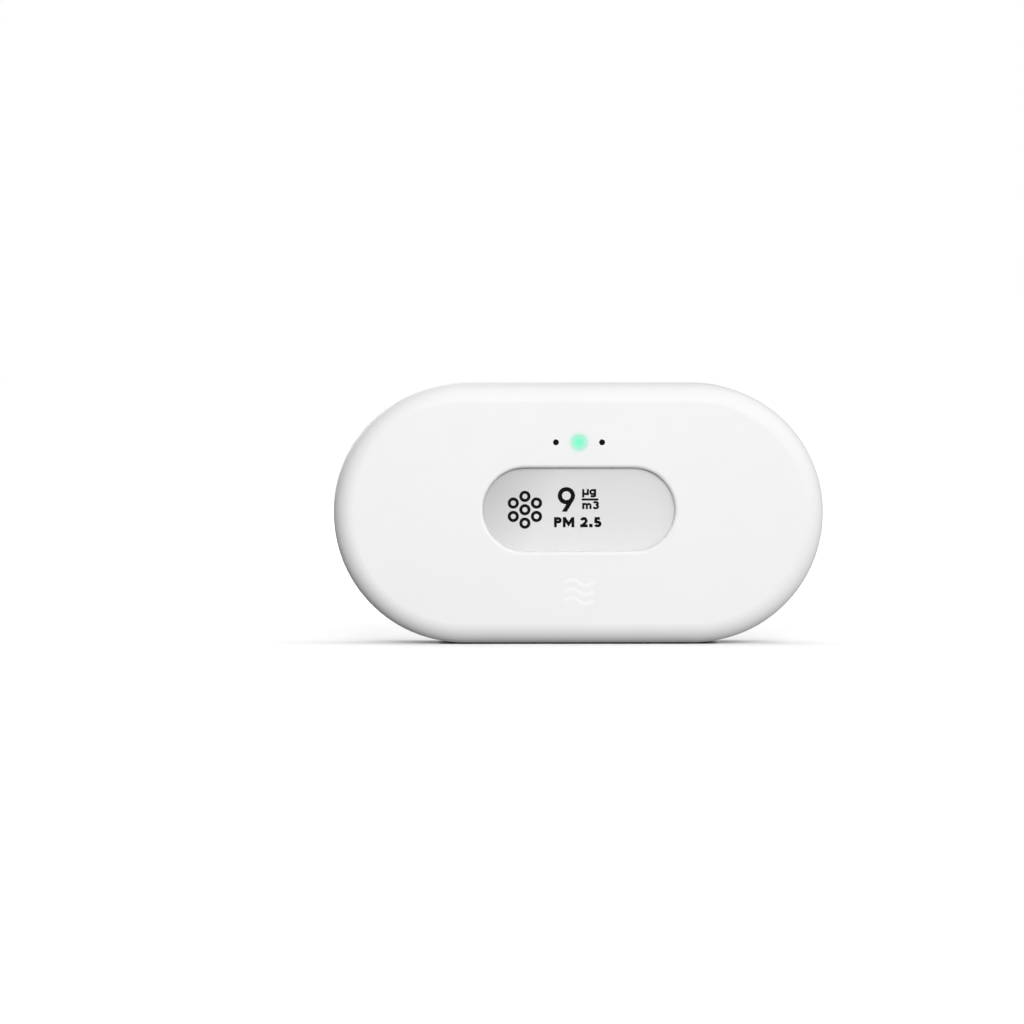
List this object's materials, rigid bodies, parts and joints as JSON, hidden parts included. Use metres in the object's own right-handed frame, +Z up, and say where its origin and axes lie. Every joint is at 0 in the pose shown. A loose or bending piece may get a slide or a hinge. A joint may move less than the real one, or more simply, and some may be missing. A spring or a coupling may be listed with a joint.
{
  "type": "air quality monitor",
  "caption": "Round-ended white indoor air monitor with a recessed paper-like display, indicator light and sensor windows, on a magnetic wall plate; stands or hangs.",
  "frame": {"origin": "the middle of the base it stands on, halfway between the front face and the wall face", "axes": "+X to the right as seen from the front, front faces -Y and the wall is at +Y, +Z up"},
  "size_m": [0.17, 0.033, 0.09],
  "materials": {
    "case_white": "fine satin texture",
    "emblem_gloss": "gloss white print",
    "screw_steel": "zinc plated",
    "magnet_nickel": "nickel plated",
    "filter_black": "woven mesh",
    "filter_white": "felt membrane",
    "lens_clear": "anti-glare clear",
    "display_paper": "matt electronic paper",
    "foam_black": "closed-cell foam",
    "rubber_black": "soft moulded rubber",
    "plastic_black": "moulded",
    "window_black": "polished, infrared-clear",
    "light_green": "translucent, lit green",
    "film_amber": "polyimide film",
    "connector_ivory": "moulded",
    "board_green": "solder mask with copper tracks",
    "chip_black": "moulded package",
    "chip_clear": "white package",
    "component_tan": "fired body with tinned ends",
    "can_steel": "pressed tin-plated steel",
    "contact_nickel": "nickel-plated spring steel",
    "antenna_brass": "stamped strip",
    "laser_brass": "turned barrel",
    "bush_bronze": "sintered bronze",
    "coil_copper": "wound copper",
    "detector_glass": "bare silicon in a ceramic frame",
    "button_grey": "moulded",
    "display_ink": "black display ink",
    "battery_wrap": "printed wrap over a metal can"
  },
  "bodies": {
    "case": {"front_cover": "case_white", "rear_cover": "case_white", "case_screws": "screw_steel", "emblem_print": "emblem_gloss", "vent_filters": "filter_black", "case_magnets": "magnet_nickel", "display_lens": "lens_clear", "display_gasket": "foam_black", "display_panel": "display_paper", "display_frame": "plastic_black", "display_cable": "film_amber", "display_connector": "connector_ivory", "indicator_lens": "light_green", "indicator_led": "chip_clear", "motion_window": "window_black", "light_window": "window_black", "motion_sensor": "chip_black", "light_sensor": "chip_black", "light_baffle": "rubber_black", "main_board": "board_green", "board_screws": "screw_steel", "board_components": "component_tan", "processor_chip": "chip_black", "radio_module": "board_green", "radio_shield": "can_steel", "antenna": "antenna_brass", "usb_socket": "can_steel", "reset_switch": "can_steel", "microphone": "can_steel", "humidity_sensor": "chip_black", "voc_sensor": "can_steel", "pressure_sensor": "can_steel", "co2_sensor": "can_steel", "co2_filter": "filter_white", "radon_chamber": "plastic_black", "radon_filter": "filter_white", "radon_detector": "detector_glass", "dust_case": "plastic_black", "dust_lid": "plastic_black", "dust_board": "board_green", "dust_connector": "connector_ivory", "dust_optics": "plastic_black", "dust_laser": "laser_brass", "dust_detector": "detector_glass", "dust_seal": "foam_black", "fan_stator": "coil_copper", "fan_bush": "bush_bronze", "battery_contacts": "contact_nickel", "battery_springs": "contact_nickel", "battery_1": "battery_wrap", "battery_2": "battery_wrap", "battery_3": "battery_wrap", "battery_4": "battery_wrap", "battery_5": "battery_wrap", "battery_6": "battery_wrap"},
    "wall_plate": {"wall_plate": "case_white", "plate_magnets": "magnet_nickel"},
    "reset_button": {"reset_button": "button_grey", "reset_plunger": "plastic_black"},
    "fan": {"fan_rotor": "plastic_black"}
  },
  "joints": [
    {"name": "plate_pull_off", "type": "slide", "parent": "case", "child": "wall_plate", "axis": [0, 1, 0], "range_m": [0, 0.04]},
    {"name": "reset_press", "type": "slide", "parent": "case", "child": "reset_button", "axis": [0, -1, 0], "range_m": [0, 0.0004], "stiffness_N_per_m": 400, "springref_m": -0.001},
    {"name": "fan_spin", "type": "hinge", "parent": "case", "child": "fan", "pos_m": [-0.0656, -0.002, 0.039], "axis": [0, 1, 0], "continuous": true}
  ]
}
